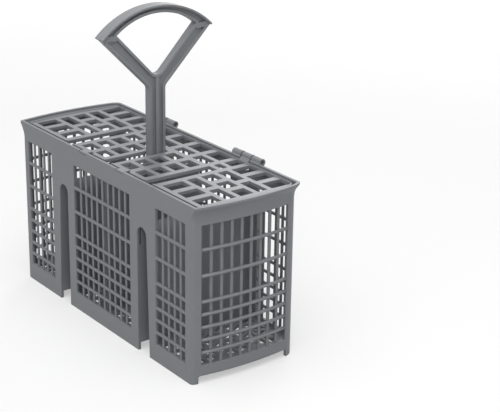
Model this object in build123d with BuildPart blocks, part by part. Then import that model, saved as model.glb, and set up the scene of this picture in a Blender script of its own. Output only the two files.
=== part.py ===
"""Cutlery basket for a dishwasher: a grid-walled tub, a hinged grid lid and a wishbone handle.

The frame stands under the middle of the tub, on the surface that it rests on. X runs along the basket,
the hinge is on the +Y side and Z is up. All sizes are in millimetres.
"""
from build123d import *
from math import atan2, degrees, sqrt
import os

os.makedirs("parts", exist_ok=True)

# Tub
tub_length = 223.4  # between the corners, before the ends bow out
tub_width = 87.4
tub_height = 126.9
end_bow = 4.1
wall = 2.0
front_corner = 3.0
back_corner = 10.0
least_corner = 0.3  # corners of what lies inside the walls never get sharper than this
foot_height = 5.5  # the end walls and the notch walls stop this far above the ground
front_foot = 4.9
back_foot = 8.8
foot_round = 1.5

# Rim: the ends flare out in a hollow curve to an upright lip
flare_reach = 3.6
flare_height = 9.0
lip_height = 1.6
flare_steps = 3

# Floor: a lattice of triangles between the notches
floor_underside = 8.5
floor_thickness = 2.0
floor_cell = 14.0
floor_rib = 2.6
floor_border = 3.0

# Windows in the walls
sill_height = 13.2
window_head = 13.7  # solid wall between the windows and the top
rail_pitch = 9.2  # the rails are close together low down, and at double pitch above
low_rails = 5
rail_height = 2.1
rail_depth = 1.1
upright_width = 2.2
upright_pitch = 7.6
middle_window = 74.4
side_window = 35.1
side_window_margin = 7.5  # from the corner of the tub to the outer windows
end_window = 70.2
end_window_margin = 7.0  # from the front of the tub to the windows in its ends

# Notches that the rack's tines stand in
notch_near = 46.7  # distance of the inner side from the middle of the basket
notch_width = 11.2
notch_mouth = 14.3
notch_height = 94.0
notch_slit = 1.6  # slits beside the front wall that free the tops of the notches' inner walls
notch_slit_depth = 15.0

# Cross wall that carries the handle
cross_wall = 1.8
cross_wall_drop = 17.0  # from the rim down to its top
cross_slot_width = 1.6  # slits that free the top of the cross wall from the long walls
cross_slot_depth = 12.0
socket_depth = 45.0
socket_wall = 1.8
socket_gap = 0.15

# Lid
lid_drop = 1.9  # the lid's top lies this far below the rim
lid_thickness = 2.5
lid_gap = 0.4
lid_front_gap = 3.6
lid_border_front = 4.4
lid_border_back = 1.6
lid_border_end = 2.7
lid_bar_x = 5.7
lid_bar_y = 3.7
lid_bead = 1.3
lid_bead_height = 0.6
slot_width = 9.4
slot_bar = 5.4  # bars on both sides of a notch's slot
handle_slot = 9.8
slot_finger = 4.6  # bars beside the handle's slot
slot_end_gap = 1.2  # from the stem to the end of its slot
short_row = 8.0
middle_row = 10.4
back_row = 11.6
slot_cell = 5.2
block_bar = 4.7  # bar behind the four rows beside the handle
tab_offset = 24.5
tab_width = 8.0
tab_thickness = 1.2
tab_hook = 1.5
tab_gap = 0.3
tab_recess = 1.6  # depth of the recesses in the rim that the tabs lie in

# Hinge
hinge_place = 53.4  # distance of each hinge from the middle
hinge_behind = 1.6  # the axis is this far behind the tub
hinge_above = 0.8  # and this far above its rim
knuckle_pitch = 11.2
knuckle_length = 9.6
knuckle_radius = 2.6
pin_radius = 1.5
pin_gap = 0.05
pin_recess = 2.0
knuckle_foot = 9.0
scoop_depth = 8.0
scoop_gap = 1.2

# Handle
handle_place = 2.8  # the handle stands this far behind the middle
handle_height = 231.8
stem_width = 12.8
stem_thickness = 6.2
channel_width = 3.0
channel_depth = 2.0
flange = 2.0
grip_rise = 18.6  # from the tips of the arms to the top of the grip
arm_rise = 39.5  # from the shoulders to the tips
tip_half = 45.5
opening_half = 33.0
grip_depth = 5.7  # from the top of the grip to the top of the opening
corner_rise = 1.3  # the opening's corners lie this far above the tips
crotch_rise = 6.0  # the opening's lowest point lies this far above the shoulders
crotch_radius = 6.0
shoulder_radius = 4.0
grip_width = 10.0
grip_flange = 1.4
tip_bridge = 4.0  # solid web between the arms' channels and the grip's

# Worked out from the sizes above
half_length = tub_length / 2
half_width = tub_width / 2
end_x = half_length + end_bow
window_top = tub_height - window_head
notch_far = notch_near + notch_width
notch_middle = notch_near + notch_width / 2
side_window_middle = half_length - side_window_margin - side_window / 2
flare_foot = tub_height - lip_height - flare_height
cross_wall_top = tub_height - cross_wall_drop
lid_top = tub_height - lid_drop
lid_underside = lid_top - lid_thickness
hinge_y = half_width + hinge_behind
hinge_z = tub_height + hinge_above
body_knuckles = [side * hinge_place + step * knuckle_pitch for side in (-1, 1) for step in (-1, 1)]


def flare_growth(height):
    """How far the ends have flared out at this height, along a circular hollow."""
    rise = min(max(height - flare_foot, 0), flare_height)
    radius = (flare_reach**2 + flare_height**2) / (2 * flare_reach)
    return radius - sqrt(radius**2 - rise**2)


def tub_plan(growth=0.0, inset=0.0):
    """Sketch of the tub's outline with its bowed ends moved out, and the whole of it set in."""
    corner_x = half_length + growth - inset
    middle_x = end_x + growth - inset
    side_y = half_width - inset
    with BuildSketch() as plan:
        with BuildLine():
            Line((-corner_x, -side_y), (corner_x, -side_y))
            ThreePointArc((corner_x, -side_y), (middle_x, 0), (corner_x, side_y))
            Line((corner_x, side_y), (-corner_x, side_y))
            ThreePointArc((-corner_x, side_y), (-middle_x, 0), (-corner_x, -side_y))
        make_face()
        fillet(plan.vertices().group_by(Axis.Y)[0], max(front_corner - inset, least_corner))
        fillet(plan.vertices().group_by(Axis.Y)[-1], max(back_corner - inset, least_corner))
    return plan.sketch


def ring_plan(outer_inset, inner_inset):
    """The band of the walls' plan between two insets."""
    with BuildSketch() as ring:
        add(tub_plan(0, outer_inset))
        add(tub_plan(0, inner_inset), mode=Mode.SUBTRACT)
    return ring.sketch


def flared_top(inset):
    """Solid of the tub's top, where the ends flare out and the long sides stay flat."""
    levels = [flare_foot + flare_height * i / flare_steps for i in range(flare_steps + 1)]
    with BuildPart() as top:
        with BuildSketch(Plane.XY.offset(flare_foot)):
            add(tub_plan(0, inset))
        for low, high in zip(levels, levels[1:]):
            lean = degrees(atan2(flare_growth(high) - flare_growth(low), high - low))
            if low > flare_foot:
                extrude(top.faces().sort_by(Axis.Z)[-1], amount=high - low, taper=-lean)
            else:
                extrude(amount=high - low, taper=-lean)
        extrude(top.faces().sort_by(Axis.Z)[-1], amount=lip_height)
        with BuildSketch(Plane.XY.offset(flare_foot)):
            Rectangle(2 * tub_length, 2 * (half_width - inset))
        extrude(amount=tub_height - flare_foot, mode=Mode.INTERSECT)
    return top.part


def rail_heights():
    """Heights of the rails: a close set low down, then as many as fit at double pitch."""
    low = [sill_height + rail_pitch * (i + 1) for i in range(low_rails)]
    count = max(1, int((window_top - low[-1]) / (2 * rail_pitch) - 0.5))
    return low + [low[-1] + 2 * rail_pitch * (i + 1) for i in range(count)]


def upright_places(windows):
    """Places of the uprights, which share the length of each window evenly."""
    places = []
    for middle, length in windows:
        columns = max(2, round(length / upright_pitch))
        places += [middle - length / 2 + length * i / columns for i in range(1, columns)]
    return places


def window_frames(windows):
    """Open areas of one wall, from the middle and the length of each window."""
    with BuildSketch() as frames:
        for middle, length in windows:
            with Locations((middle, (sill_height + window_top) / 2)):
                Rectangle(length, window_top - sill_height)
    return frames.sketch


long_windows = [(-side_window_middle, side_window), (0, middle_window), (side_window_middle, side_window)]
end_windows = [(end_window_margin + end_window / 2 - half_width, end_window)]
walls = ((Plane.XZ, long_windows), (Plane.YZ, end_windows))


# Outer layer of the walls, where the rails run
with BuildPart() as rail_layer:
    add(ring_plan(0, rail_depth))
    extrude(amount=flare_foot)
    for plane, windows in walls:
        with BuildSketch(plane):
            add(window_frames(windows))
            with Locations(*[(0, height) for height in rail_heights()]):
                Rectangle(tub_length, rail_height, mode=Mode.SUBTRACT)
        extrude(amount=tub_length, both=True, mode=Mode.SUBTRACT)

# Inner layer of the walls, where the uprights stand
with BuildPart() as upright_layer:
    add(ring_plan(rail_depth, wall))
    extrude(amount=flare_foot)
    for plane, windows in walls:
        with BuildSketch(plane):
            add(window_frames(windows))
            with Locations(*[(place, tub_height / 2) for place in upright_places(windows)]):
                Rectangle(upright_width, tub_height, mode=Mode.SUBTRACT)
        extrude(amount=tub_length, both=True, mode=Mode.SUBTRACT)

# Ends that flare out to the lip
rim_outside = flared_top(0)
rim_inside = flared_top(wall)
with BuildPart() as rim:
    add(rim_outside)
    add(rim_inside, mode=Mode.SUBTRACT)

# Outline of a notch: upright on its inner side, sloping on its outer side, round at the top
with BuildSketch() as notch_outline:
    spring = notch_height - notch_width / 2
    with BuildLine():
        Line((notch_near, 0), (notch_near, spring))
        ThreePointArc((notch_near, spring), (notch_middle, notch_height), (notch_far, spring))
        Line((notch_far, spring), (notch_near + notch_mouth, 0))
        Line((notch_near + notch_mouth, 0), (notch_near, 0))
    make_face()


def floor_holes(x_low, x_high):
    """Triangular holes that share one compartment's floor, pointing up and down by turns."""
    y_low = -half_width + wall + floor_border
    rows = max(1, round((-2 * y_low) / (floor_cell * sqrt(3) / 2)))
    columns = max(2, round((x_high - x_low) / (floor_cell / 2)))
    row = -2 * y_low / rows
    step = (x_high - x_low) / columns
    inner = step * row / (step + sqrt(step**2 + row**2))
    shrink = 1 - floor_rib / 2 / inner
    with BuildSketch(Plane.XY.offset(floor_underside)) as holes:
        for up in (1, -1):
            places = [
                (x_low + step * (i + 1), y_low + row * (j + 0.5) - up * (row / 2 - inner))
                for j in range(rows)
                for i in range(columns - 1)
                if (i + j) % 2 == (0 if up == 1 else 1)
            ]
            with Locations(*places):
                Polygon(
                    (-step * shrink, -up * inner * shrink),
                    (step * shrink, -up * inner * shrink),
                    (0, up * (row - inner) * shrink),
                    align=None,
                )
    return holes.sketch


# Floor with its holes
with BuildPart() as floor:
    with BuildSketch(Plane.XY.offset(floor_underside)):
        add(tub_plan(0, wall / 2))
    extrude(amount=floor_thickness)
    outer_end = half_length - floor_border
    mouth = notch_near + notch_mouth + wall
    near = notch_near - wall
    for low, high in ((-outer_end, -mouth), (-near, -cross_wall), (cross_wall, near), (mouth, outer_end)):
        add(floor_holes(low, high))
    extrude(amount=floor_thickness, mode=Mode.SUBTRACT)

# Notch walls, cross wall, socket and hinge knuckles
with BuildPart() as fittings:
    with BuildSketch(Plane.XZ) as notch_walls:
        add(offset(notch_outline.sketch, amount=wall, mode=Mode.PRIVATE))
        with Locations((notch_middle, foot_height - tub_height / 2)):
            Rectangle(tub_length / 2, tub_height, mode=Mode.SUBTRACT)
        mirror(notch_walls.sketch_local, about=Plane.YZ)
        with Locations((0, (floor_underside + cross_wall_top) / 2)):
            Rectangle(cross_wall, cross_wall_top - floor_underside)
    extrude(amount=half_width - wall / 2, both=True)
    socket_floor = cross_wall_top - socket_depth
    socket_x = stem_thickness + 2 * (socket_gap + socket_wall)
    socket_y = stem_width + 2 * (socket_gap + socket_wall)
    with BuildSketch(Plane.XY.offset(socket_floor - socket_wall)):
        with Locations((0, handle_place)):
            Rectangle(socket_x, socket_y)
    extrude(amount=socket_depth + socket_wall)
    for centre in body_knuckles:
        with BuildSketch(Plane.YZ.offset(centre - knuckle_length / 2)):
            with Locations((hinge_y, hinge_z)):
                Circle(knuckle_radius)
            Polygon(
                (half_width - wall, tub_height),
                (half_width - wall, tub_height - wall),
                (half_width, tub_height - knuckle_foot),
                (hinge_y + knuckle_radius, hinge_z),
                (hinge_y - knuckle_radius, hinge_z),
                align=None,
            )
    extrude(amount=knuckle_length)

# Everything that is left open: notches, gaps between the feet, socket, slits, bores and recesses
with BuildPart() as openings:
    with BuildSketch(Plane.XZ):
        add(notch_outline.sketch)
        mirror(notch_outline.sketch, about=Plane.YZ)
    extrude(amount=tub_width, both=True)
    with BuildSketch(Plane.YZ) as ground_gap:
        with Locations(((front_foot - back_foot) / 2, foot_height / 2)):
            Rectangle(tub_width - front_foot - back_foot, foot_height)
        fillet(ground_gap.vertices().group_by(Axis.Y)[-1], foot_round)
    extrude(amount=tub_length, both=True)
    with BuildSketch(Plane.XY.offset(socket_floor)):
        with Locations((0, handle_place)):
            Rectangle(stem_thickness + 2 * socket_gap, stem_width + 2 * socket_gap)
    extrude(amount=tub_height - socket_floor)
    slit_y = half_width - wall - cross_slot_width / 2
    with BuildSketch(Plane.XY.offset(cross_wall_top - cross_slot_depth)):
        with Locations((0, -slit_y), (0, slit_y)):
            Rectangle(2 * cross_wall, cross_slot_width)
    extrude(amount=tub_height - cross_wall_top + cross_slot_depth)
    notch_slit_y = half_width - wall - notch_slit / 2
    notch_slit_x = notch_near - wall / 2
    with BuildSketch(Plane.XY.offset(notch_height - notch_slit_depth)):
        with Locations((-notch_slit_x, -notch_slit_y), (notch_slit_x, -notch_slit_y)):
            Rectangle(2 * wall, notch_slit)
    extrude(amount=notch_slit_depth + wall)
    with BuildSketch(Plane.XY.offset(tub_height - tab_recess)):
        with Locations((-tab_offset, -half_width), (tab_offset, -half_width)):
            Rectangle(tab_width + 4 * tab_gap, 4 * wall)
    extrude(amount=tab_recess)
    with BuildSketch(Plane.YZ):
        with Locations((hinge_y, hinge_z)):
            Circle(pin_radius + pin_gap)
    extrude(amount=half_length, both=True)
    scoop_width = knuckle_length + 2 * scoop_gap
    with BuildSketch(Plane.XZ.offset(-hinge_y)) as scoops:
        with Locations((-hinge_place, tub_height), (hinge_place, tub_height)):
            Rectangle(scoop_width, 2 * scoop_depth)
        fillet(scoops.vertices().group_by(Axis.Y)[0], scoop_width / 3)
    extrude(amount=hinge_behind + 2 * wall)

with BuildPart() as basket:
    add([rail_layer.part, upright_layer.part, rim.part, floor.part, fittings.part])
    add(openings.part, mode=Mode.SUBTRACT)
basket.part.label = "basket"
export_step(basket.part, "parts/basket.step")

# Lid
lid_front = -half_width + wall + lid_front_gap
lid_back = half_width - wall - lid_gap
lid_end = half_length + flare_growth(lid_underside) - wall - lid_gap
cells_front = lid_front + lid_border_front
cells_back = lid_back - lid_border_back
slot_near = notch_middle - slot_width / 2
slot_far = notch_middle + slot_width / 2
second_row = cells_back - back_row - lid_bar_y  # back edge of the second row of cells
slot_back = second_row - slot_cell - lid_bar_y  # back end of the notches' slots
stem_slot_back = handle_place + stem_width / 2 + slot_end_gap


def lid_plan(inset=0.0):
    """Sketch of the lid's outline, which follows the inside of the rim and stops short of the front."""
    with BuildSketch() as plan:
        add(tub_plan(flare_growth(lid_underside), wall + lid_gap + inset))
        with Locations((0, lid_front + inset - tub_width)):
            Rectangle(2 * tub_length, 2 * tub_width, mode=Mode.SUBTRACT)
    return plan.sketch


def spread(low, high, count, bar):
    """Middles and shared width of the cells that bars of one width leave in a span."""
    wide = (high - low - bar * (count - 1)) / count
    return [low + wide / 2 + (wide + bar) * i for i in range(count)], wide


def cells(columns, rows, length, width):
    """Openings of one size on both sides of the middle, at each crossing of columns and rows."""
    with BuildSketch(Plane.XY.offset(lid_underside)) as pattern:
        with Locations(*[(side * x, y) for side in (-1, 1) for x in columns for y in rows]):
            Rectangle(length, width)
    return pattern.sketch


with BuildPart() as lid:
    with BuildSketch(Plane.XY.offset(lid_underside)):
        add(lid_plan())
    extrude(amount=lid_thickness)

    # Bead along the border
    with BuildSketch(Plane.XY.offset(lid_top)):
        add(lid_plan())
        add(lid_plan(lid_bead), mode=Mode.SUBTRACT)
    extrude(amount=lid_bead_height)

    # Clip tabs that lie in the rim's recesses and hook down outside it
    with BuildSketch(Plane.YZ.offset(-tab_width / 2)):
        tab_under = tub_height - tab_recess + tab_gap
        Polygon(
            (lid_front, lid_underside),
            (lid_front, tab_under),
            (-half_width - tab_gap, tab_under),
            (-half_width - tab_gap, tab_under - tab_hook),
            (-half_width - tab_gap - tab_thickness, tab_under - tab_hook),
            (-half_width - tab_gap - tab_thickness, tab_under),
            (-half_width - tab_gap, tab_under + tab_thickness),
            (lid_front + lid_bead, tab_under + tab_thickness),
            (lid_front + lid_bead, lid_underside),
            align=None,
        )
    with Locations((-tab_offset, 0, 0), (tab_offset, 0, 0)):
        extrude(amount=tab_width)

    # Knuckles with their tongues and pins
    for place in (-hinge_place, hinge_place):
        with BuildSketch(Plane.YZ.offset(place - knuckle_length / 2)):
            with Locations((hinge_y, hinge_z)):
                Circle(knuckle_radius)
            Polygon(
                (lid_back - lid_bead, lid_underside),
                (hinge_y, hinge_z - knuckle_radius),
                (hinge_y, hinge_z + knuckle_radius),
                (hinge_y - knuckle_radius, hinge_z),
                (lid_back - lid_bead, lid_top),
                align=None,
            )
    extrude(amount=knuckle_length)
    pin_length = 2 * knuckle_pitch + knuckle_length - 2 * pin_recess
    for place in (-hinge_place, hinge_place):
        with BuildSketch(Plane.YZ.offset(place - pin_length / 2)):
            with Locations((hinge_y, hinge_z)):
                Circle(pin_radius)
    extrude(amount=pin_length)

    # Cells of the grid and the three slots that are open at the front
    tall_row = (cells_back - cells_front - 2 * short_row - middle_row - 4 * lid_bar_y) / 2
    edge = cells_front
    for tall, count in ((tall_row, 3), (short_row, 2), (middle_row, 3), (short_row, 2), (tall_row, 3)):
        columns, wide = spread(slot_far + slot_bar, lid_end - lid_border_end, count, lid_bar_x)
        add(cells(columns, [edge + tall / 2], wide, tall))
        edge += tall + lid_bar_y
    add(cells([notch_middle], [cells_back - back_row / 2], slot_width, back_row))
    add(cells([notch_middle], [second_row - slot_cell / 2], slot_width, slot_cell))
    columns, wide = spread(lid_bar_x / 2, slot_near - slot_bar, 2, lid_bar_x)
    add(cells(columns, [cells_back - back_row / 2], wide, back_row))
    add(cells(columns, [second_row - short_row / 2], wide, short_row))
    columns, wide = spread(handle_slot / 2 + slot_finger, slot_near - slot_bar, 2, lid_bar_x)
    rows, tall = spread(cells_front, second_row - short_row - block_bar, 4, lid_bar_y)
    add(cells(columns, rows, wide, tall))
    with BuildSketch(Plane.XY.offset(lid_underside)):
        front = 2 * lid_front
        with Locations((-notch_middle, (front + slot_back) / 2), (notch_middle, (front + slot_back) / 2)):
            Rectangle(slot_width, slot_back - front)
        with Locations((0, (front + stem_slot_back) / 2)):
            Rectangle(handle_slot, stem_slot_back - front)
    extrude(amount=2 * lid_thickness, mode=Mode.SUBTRACT)
lid.part.label = "lid"
export_step(lid.part, "parts/lid.step")

# Handle, drawn in the upright plane through its stem
handle_plane = Plane((0, handle_place, 0), x_dir=(0, 1, 0), z_dir=(1, 0, 0))
tip_height = handle_height - grip_rise
shoulder_height = tip_height - arm_rise
opening_top = handle_height - grip_depth
opening_corner = tip_height + corner_rise
opening_bottom = shoulder_height + crotch_rise

with BuildSketch() as handle_outline:
    stem_half = stem_width / 2
    with BuildLine():
        Polyline(
            (-tip_half, tip_height),
            (-stem_half, shoulder_height),
            (-stem_half, socket_floor),
            (stem_half, socket_floor),
            (stem_half, shoulder_height),
            (tip_half, tip_height),
        )
        ThreePointArc((tip_half, tip_height), (0, handle_height), (-tip_half, tip_height))
    make_face()
    shoulders = handle_outline.vertices().filter_by(lambda v: abs(v.Y - shoulder_height) < stem_half)
    fillet(shoulders, shoulder_radius)

with BuildSketch() as handle_opening:
    with BuildLine():
        Polyline((-opening_half, opening_corner), (0, opening_bottom), (opening_half, opening_corner))
        ThreePointArc((opening_half, opening_corner), (0, opening_top), (-opening_half, opening_corner))
    make_face()
    fillet(handle_opening.vertices().sort_by(Axis.Y)[0], crotch_radius)

with BuildSketch() as channels:
    add(offset(handle_outline.sketch, amount=-flange, mode=Mode.PRIVATE))
    add(offset(handle_opening.sketch, amount=flange, mode=Mode.PRIVATE), mode=Mode.SUBTRACT)
    rib_top = opening_bottom + crotch_radius
    with Locations((0, (socket_floor + rib_top) / 2)):
        Rectangle(stem_width - 2 * (flange + channel_width), rib_top - socket_floor, mode=Mode.SUBTRACT)
    for side in (-1, 1):
        with BuildLine():
            bridge = Line((side * opening_half, opening_corner - flange), (side * tip_half, tip_height))
        trace(bridge, tip_bridge, mode=Mode.SUBTRACT)

with BuildPart() as handle:
    with BuildSketch(handle_plane):
        add(handle_outline.sketch)
        add(handle_opening.sketch, mode=Mode.SUBTRACT)
    extrude(amount=stem_thickness / 2, both=True)

    # Broad flange along the top of the grip
    with BuildSketch(handle_plane):
        with BuildLine():
            top = ThreePointArc((-tip_half, tip_height), (0, handle_height), (tip_half, tip_height))
        trace(top, 2 * grip_flange)
        add(handle_outline.sketch, mode=Mode.INTERSECT)
    extrude(amount=grip_width / 2, both=True)

    # Hollow channels on both faces, with a web between them
    for side in (-1, 1):
        with BuildSketch(handle_plane.offset(side * (stem_thickness / 2 - channel_depth))):
            add(channels.sketch)
        extrude(amount=side * channel_depth, mode=Mode.SUBTRACT)
handle.part.label = "handle"
export_step(handle.part, "parts/handle.step")
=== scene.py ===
# %% [markdown]
# A dishwasher's cutlery basket is three mouldings of one grey plastic: the tub, the hinged lid and
# the handle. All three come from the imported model, at their real size and in their real place. This
# lesson gives them their finish, adds the round fronts of some rails and the tabs of the lid, and
# stands the basket on a pale floor in soft studio light. Lengths are in metres, X runs along the
# basket and Z is up.

import bmesh
import bpy
from math import asin, cos, radians, sin
from mathutils import Matrix, Vector


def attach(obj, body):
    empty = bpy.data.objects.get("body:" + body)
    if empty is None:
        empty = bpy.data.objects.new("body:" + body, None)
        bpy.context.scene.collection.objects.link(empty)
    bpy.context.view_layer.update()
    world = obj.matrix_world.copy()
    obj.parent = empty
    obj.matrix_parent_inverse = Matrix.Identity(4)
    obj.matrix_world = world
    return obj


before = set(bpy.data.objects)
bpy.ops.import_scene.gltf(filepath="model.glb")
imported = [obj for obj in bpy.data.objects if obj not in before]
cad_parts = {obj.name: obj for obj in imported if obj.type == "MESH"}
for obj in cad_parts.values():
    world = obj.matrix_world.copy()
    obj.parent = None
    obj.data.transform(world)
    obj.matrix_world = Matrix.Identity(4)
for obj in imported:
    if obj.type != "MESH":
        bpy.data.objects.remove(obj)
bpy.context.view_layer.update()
mm = 0.001
print("nodes:", sorted(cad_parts))

# %% [markdown]
# The camera comes first, because every later choice is judged through it. Its place and aim were
# worked out from the straight edges of the real basket. A camera turned by hand would get close, but
# the three directions of the box would never line up together. The basket stands left of the middle
# of the picture, so the lens is shifted sideways, which leaves the camera's aim as it is.

# %% Camera
camera_place = Vector((813.6, -533.7, 450.4)) * mm
camera_turn = 55.34  # degrees about Z, from looking along +Y
camera_dip = 20.64  # degrees below the horizon
focal_pixels = 1439
picture_width = 500
picture_middle = 185.8  # the pixel column that the camera points at
sensor_width = 36  # millimetres, the width of a usual sensor


def add_object(name, data):
    """New object in the scene, for a mesh, a lamp or a camera."""
    made = bpy.data.objects.new(name, data)
    bpy.context.scene.collection.objects.link(made)
    return made


camera_data = bpy.data.cameras.new("camera")
camera_data.sensor_width = sensor_width
camera_data.lens = focal_pixels / picture_width * sensor_width
camera_data.shift_x = 0.5 - picture_middle / picture_width
camera = add_object("camera", camera_data)
turn = Matrix.Rotation(radians(camera_turn), 4, "Z")
dip = Matrix.Rotation(radians(90 - camera_dip), 4, "X")
camera.matrix_world = Matrix.Translation(camera_place) @ turn @ dip
bpy.context.scene.camera = camera
print("lens:", round(camera_data.lens, 1), "shift:", camera_data.shift_x)

# %% [markdown]
# A product picture like this one is taken on a white sweep. The floor here is a plain pale sheet. What
# the camera sees of it gets some light of its own, and more of it far from the basket, where the
# lamps fade out, so that the sheet comes out white while the basket's shadow still falls on it. More
# light on the basket would do that too, but would wash out the grey.

# %% Floor
floor_half = 6.0


def mesh_from(shape, name):
    """Mesh that is made of a bmesh, which is then freed."""
    data = bpy.data.meshes.new(name)
    shape.to_mesh(data)
    shape.free()
    return data


sheet = bmesh.new()
bmesh.ops.create_grid(sheet, x_segments=1, y_segments=1, size=floor_half)
floor = add_object("floor", mesh_from(sheet, "floor"))
print("floor:", 2 * floor_half, "m square")

# %% White paper
floor_colour = (0.50, 0.50, 0.50, 1)
floor_roughness = 0.9

paper = bpy.data.materials.new("paper_sweep")
paper.use_nodes = True
paper_nodes = paper.node_tree.nodes
paper_links = paper.node_tree.links
paper_shader = paper_nodes["Principled BSDF"]
paper_shader.inputs["Base Color"].default_value = floor_colour
paper_shader.inputs["Roughness"].default_value = floor_roughness
paper_shader.inputs["Emission Color"].default_value = (1, 1, 1, 1)
floor.data.materials.append(paper)
print("the floor is", paper.name)

# %% More light where the lamps fade out
floor_lift = 0.43  # near the basket
floor_lift_far = 0.88
lamp_reach = (0.5, 2.6)  # where the lamps start to fade, and where they are gone

paper_place = paper_nodes.new("ShaderNodeTexCoord")
distance = paper_nodes.new("ShaderNodeVectorMath")
distance.operation = "LENGTH"
paper_links.new(paper_place.outputs["Object"], distance.inputs[0])
fade = paper_nodes.new("ShaderNodeMapRange")
fade.inputs["From Min"].default_value = lamp_reach[0]
fade.inputs["From Max"].default_value = lamp_reach[1]
fade.inputs["To Min"].default_value = floor_lift
fade.inputs["To Max"].default_value = floor_lift_far
paper_links.new(distance.outputs["Value"], fade.inputs["Value"])
print("light of the floor:", floor_lift, "to", floor_lift_far)

# %% Light that is seen and lights nothing


def seen_directly(nodes, links):
    """One where a ray comes from the camera, a reflection or a view through glass, or else zero."""
    path = nodes.new("ShaderNodeLightPath")
    first = nodes.new("ShaderNodeMath")
    first.operation = "MAXIMUM"
    second = nodes.new("ShaderNodeMath")
    second.operation = "MAXIMUM"
    links.new(path.outputs["Is Camera Ray"], first.inputs[0])
    links.new(path.outputs["Is Glossy Ray"], first.inputs[1])
    links.new(first.outputs[0], second.inputs[0])
    links.new(path.outputs["Is Transmission Ray"], second.inputs[1])
    return second.outputs[0]


lift = paper_nodes.new("ShaderNodeMath")
lift.operation = "MULTIPLY"
paper_links.new(seen_directly(paper_nodes, paper_links), lift.inputs[0])
paper_links.new(fade.outputs["Result"], lift.inputs[1])
paper_links.new(lift.outputs[0], paper_shader.inputs["Emission Strength"])
print("paper nodes:", len(paper_nodes))

# %% [markdown]
# The real basket is brightest on top, where its round rails and the bars of its lid catch the light,
# its end is darker than its front, and its inside is still easy to see. One very large lamp overhead,
# a little on the camera's side, gives the bright tops. A lamp beside the camera reaches in through
# every window that the camera looks through, so it opens up the inside. A lamp behind throws the
# soft shadow forwards, a weak one on the left lifts the front, and the room fills in all round. A
# lamp with a hard edge would draw every bar of the lid on the floor, so all of them are large.

# %% Surrounding light
sky_level = 0.20  # what the basket gets of the room's light
sky_seen = 1.0  # what the camera sees of the room, which is white

world = bpy.data.worlds.new("studio")
bpy.context.scene.world = world
world.use_nodes = True
sky_nodes = world.node_tree.nodes
sky_links = world.node_tree.links
sky = sky_nodes["Background"]
sky.inputs["Color"].default_value = (1, 1, 1, 1)
sky_mix = sky_nodes.new("ShaderNodeMapRange")
sky_mix.inputs["To Min"].default_value = sky_level
sky_mix.inputs["To Max"].default_value = sky_seen
sky_links.new(seen_directly(sky_nodes, sky_links), sky_mix.inputs["Value"])
sky_links.new(sky_mix.outputs["Result"], sky.inputs["Strength"])
bpy.context.scene.view_settings.view_transform = "Standard"
print("room's light:", sky_level)

# %% Lamps
lamp_target = Vector((0, 0, 0.08))


def softbox(name, size, power, place):
    """Large square lamp that points at the middle of the basket."""
    data = bpy.data.lights.new(name, "AREA")
    data.shape = "SQUARE"
    data.size = size
    data.energy = power
    lamp = add_object(name, data)
    aim = (lamp_target - place).to_track_quat("-Z", "Y").to_matrix().to_4x4()
    lamp.matrix_world = Matrix.Translation(place) @ aim
    print(name, power, "W at", round((lamp_target - place).length, 2), "m")


softbox("top_softbox", size=2.2, power=31, place=Vector((0.35, -0.35, 1.5)))
softbox("left_softbox", size=1.0, power=0.8, place=Vector((0.2, -1.9, 0.75)))
softbox("camera_softbox", size=0.8, power=7, place=Vector((1.55, -1.05, 0.9)))
softbox("back_softbox", size=1.0, power=9, place=Vector((-1.2, 1.5, 0.9)))

# %% [markdown]
# The plastic is polypropylene, coloured right through and left satin by a lightly blasted mould. It
# isn't one flat grey: the melt leaves faint cloudy marks, and the blasted steel leaves a fine grain
# that breaks up the shine. Both are functions of the place on the piece, so no image is needed. All
# three mouldings share them, so they are one node group with its own inputs.

# %% Node group for a moulded surface
cloud_scale = 38  # clouds about 25 mm across
cloud_detail = 4
grain_scale = 2600  # grains about 0.4 mm across
grain_detail = 2
noise_average = 0.5


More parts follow.
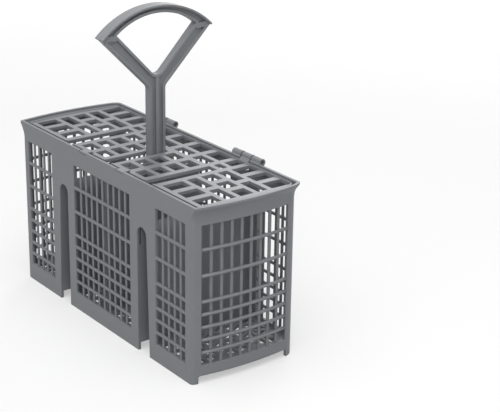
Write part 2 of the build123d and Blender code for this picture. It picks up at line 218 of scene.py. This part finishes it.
def moulded_surface():
    """Group that gives cloudy colour, roughness and the height of a fine grain."""
    group = bpy.data.node_groups.new("moulded_surface", "ShaderNodeTree")
    sockets = group.interface
    sockets.new_socket("Colour", in_out="INPUT", socket_type="NodeSocketColor")
    sockets.new_socket("Cloudiness", in_out="INPUT", socket_type="NodeSocketFloat")
    sockets.new_socket("Roughness", in_out="INPUT", socket_type="NodeSocketFloat")
    sockets.new_socket("Colour", in_out="OUTPUT", socket_type="NodeSocketColor")
    sockets.new_socket("Roughness", in_out="OUTPUT", socket_type="NodeSocketFloat")
    sockets.new_socket("Grain", in_out="OUTPUT", socket_type="NodeSocketFloat")
    nodes = group.nodes
    links = group.links
    given = nodes.new("NodeGroupInput")
    result = nodes.new("NodeGroupOutput")
    place = nodes.new("ShaderNodeTexCoord")

    clouds = nodes.new("ShaderNodeTexNoise")
    clouds.inputs["Scale"].default_value = cloud_scale
    clouds.inputs["Detail"].default_value = cloud_detail
    links.new(place.outputs["Object"], clouds.inputs["Vector"])
    centred = nodes.new("ShaderNodeMath")
    centred.operation = "SUBTRACT"
    centred.inputs[1].default_value = noise_average
    links.new(clouds.outputs["Fac"], centred.inputs[0])
    strength = nodes.new("ShaderNodeMath")  # one, and a little more or less from place to place
    strength.operation = "MULTIPLY_ADD"
    strength.inputs[2].default_value = 1
    links.new(centred.outputs[0], strength.inputs[0])
    links.new(given.outputs["Cloudiness"], strength.inputs[1])
    tint = nodes.new("ShaderNodeVectorMath")
    tint.operation = "SCALE"
    links.new(given.outputs["Colour"], tint.inputs[0])
    links.new(strength.outputs[0], tint.inputs["Scale"])
    links.new(tint.outputs["Vector"], result.inputs["Colour"])

    rough = nodes.new("ShaderNodeMath")
    rough.operation = "MULTIPLY"
    links.new(given.outputs["Roughness"], rough.inputs[0])
    links.new(strength.outputs[0], rough.inputs[1])
    links.new(rough.outputs[0], result.inputs["Roughness"])

    grain = nodes.new("ShaderNodeTexNoise")
    grain.inputs["Scale"].default_value = grain_scale
    grain.inputs["Detail"].default_value = grain_detail
    links.new(place.outputs["Object"], grain.inputs["Vector"])
    links.new(grain.outputs["Fac"], result.inputs["Grain"])
    return group


surface = moulded_surface()
outputs = [item.name for item in surface.interface.items_tree if item.in_out == "OUTPUT"]
print("group outputs:", outputs)

# %% Plastic of the tub
grey = (0.198, 0.205, 0.218)
edge_round = 0.8 * mm
edge_samples = 6
grain_height = 0.02 * mm
grain_strength = 0.25
plastic_ior = 1.49


def moulded_plastic(name, colour, roughness, cloudiness):
    """Satin plastic whose edges catch the light as slightly rounded ones do."""
    material = bpy.data.materials.new(name)
    material.use_nodes = True
    nodes = material.node_tree.nodes
    links = material.node_tree.links
    shader = nodes["Principled BSDF"]
    skin = nodes.new("ShaderNodeGroup")
    skin.node_tree = surface
    skin.inputs["Colour"].default_value = (*colour, 1)
    skin.inputs["Cloudiness"].default_value = cloudiness
    skin.inputs["Roughness"].default_value = roughness
    links.new(skin.outputs["Colour"], shader.inputs["Base Color"])
    links.new(skin.outputs["Roughness"], shader.inputs["Roughness"])
    edges = nodes.new("ShaderNodeBevel")
    edges.samples = edge_samples
    edges.inputs["Radius"].default_value = edge_round
    bump = nodes.new("ShaderNodeBump")
    bump.inputs["Strength"].default_value = grain_strength
    bump.inputs["Distance"].default_value = grain_height
    links.new(skin.outputs["Grain"], bump.inputs["Height"])
    links.new(edges.outputs["Normal"], bump.inputs["Normal"])
    links.new(bump.outputs["Normal"], shader.inputs["Normal"])
    shader.inputs["IOR"].default_value = plastic_ior
    return material


tub_plastic = moulded_plastic("tub_plastic", grey, roughness=0.45, cloudiness=0.12)
print("made", tub_plastic.name)

# %% Plastics of the lid and the handle
grey_with_painted_light = (0.226, 0.233, 0.246)  # the tub's grey made a shade paler: painted light that lifts the handle's shaded faces

lid_plastic = moulded_plastic("lid_plastic", grey, roughness=0.40, cloudiness=0.12)
handle_plastic = moulded_plastic("handle_plastic", grey_with_painted_light, roughness=0.38, cloudiness=0.10)
plastics = {"basket": tub_plastic, "lid": lid_plastic, "handle": handle_plastic}
for node, material in plastics.items():
    for piece_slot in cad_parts[node].material_slots:
        piece_slot.material = material
    print(node, "has", material.name)

# %% [markdown]
# The rails of the bowed ends are round in front, and stand a little proud of the wall under its
# flared rim. In the model they are flat strips, flush with the wall, so a round bar is laid in each
# strip: a circle that is spun about the middle of the bow. All the bars are one piece. The rails of
# the long walls stay flat, because round bars there would stand out past the front and the back.

# %% Places of the rails
rail_lowest = 22.4 * mm
rail_pitch = 9.2 * mm
rail_places = (0, 1, 2, 3, 4, 6, 8)  # in pitches, so the upper windows are taller
rail_heights = [rail_lowest + rail_pitch * step for step in rail_places]
rail_radius = 1.1 * mm
rail_sink = 0.35 * mm  # how far the middle of a bar lies behind the face of the wall
bow_radius = 234.9 * mm
bow_middle = 119.1 * mm  # from the middle of the basket, on the side away from that end
end_window = (-36.7 * mm, 33.5 * mm)  # the front and the back edge
print(len(rail_heights), "rails in each end")

# %% Round bars
bar_sides = 10
bow_steps = 9
weld_distance = 0.001 * mm

rails = bmesh.new()


def bowed_bar(side, height):
    """Bar along one bowed end, from its front to its back. Side is 1 or -1."""
    reach = bow_radius - rail_sink
    first = asin(end_window[0] / bow_radius)
    last = asin(end_window[1] / bow_radius)
    middle = Vector((-side * bow_middle, 0, height))
    start = middle + Vector((side * reach * cos(first), reach * sin(first), 0))
    section = bmesh.ops.create_circle(
        rails,
        cap_ends=True,
        segments=bar_sides,
        radius=rail_radius,
        matrix=Matrix.Translation(start) @ Matrix.Rotation(radians(90), 4, "X"),
    )
    bmesh.ops.spin(
        rails,
        geom=list({face for vert in section["verts"] for face in vert.link_faces}),
        cent=middle,
        axis=(0, 0, side),
        angle=last - first,
        steps=bow_steps,
        use_duplicate=False,
    )


for height in rail_heights:
    for side in (-1, 1):
        bowed_bar(side, height)
bmesh.ops.remove_doubles(rails, verts=rails.verts, dist=weld_distance)
bmesh.ops.recalc_face_normals(rails, faces=rails.faces)
for face in rails.faces:
    face.smooth = len(face.verts) == 4  # the round sides, and not the caps
print("open edges:", sum(1 for edge in rails.edges if not edge.is_manifold))

# %% Rails as one piece
rail_fronts = add_object("rail_fronts", mesh_from(rails, "rail_fronts"))
rail_fronts.data.materials.append(tub_plastic)
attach(rail_fronts, "root")
print("rails:", len(rail_fronts.data.polygons), "faces")

# %% [markdown]
# Two small tabs on the lid's front edge lie in recesses of the tub's rim. The model has the recesses
# and lacks the tabs. Each one is a bent strip, so its side view is drawn once as a face and then
# extruded across. They ride on the lid, because they swing with it, and end flush with the wall.

# %% Tabs of the lid
tab_width = 8.0 * mm
tab_middles = (-24.5 * mm, 24.5 * mm)
tab_outline = [  # Y and height, in millimetres
    (-36.8, 122.6),
    (-36.8, 126.2),
    (-37.4, 126.8),
    (-43.1, 126.8),
    (-43.6, 126.4),
    (-43.6, 125.6),
    (-38.4, 125.6),
    (-38.4, 122.6),
]

tabs = bmesh.new()
for tab_middle in tab_middles:
    corners = []
    for depth, height in tab_outline:
        place = (tab_middle - tab_width / 2, depth * mm, height * mm)
        corners.append(tabs.verts.new(place))
    side_face = tabs.faces.new(corners)  # the bent strip seen from its end
    grown = bmesh.ops.extrude_face_region(tabs, geom=[side_face], use_keep_orig=True)
    moved = [item for item in grown["geom"] if isinstance(item, bmesh.types.BMVert)]
    bmesh.ops.translate(tabs, verts=moved, vec=(tab_width, 0, 0))
bmesh.ops.recalc_face_normals(tabs, faces=tabs.faces)
print("open edges of the tabs:", sum(1 for edge in tabs.edges if not edge.is_manifold))

# %% Tabs as one piece
lid_tabs = add_object("lid_tabs", mesh_from(tabs, "lid_tabs"))
lid_tabs.data.materials.append(lid_plastic)
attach(lid_tabs, "lid")
print("tabs:", len(lid_tabs.data.polygons), "faces")
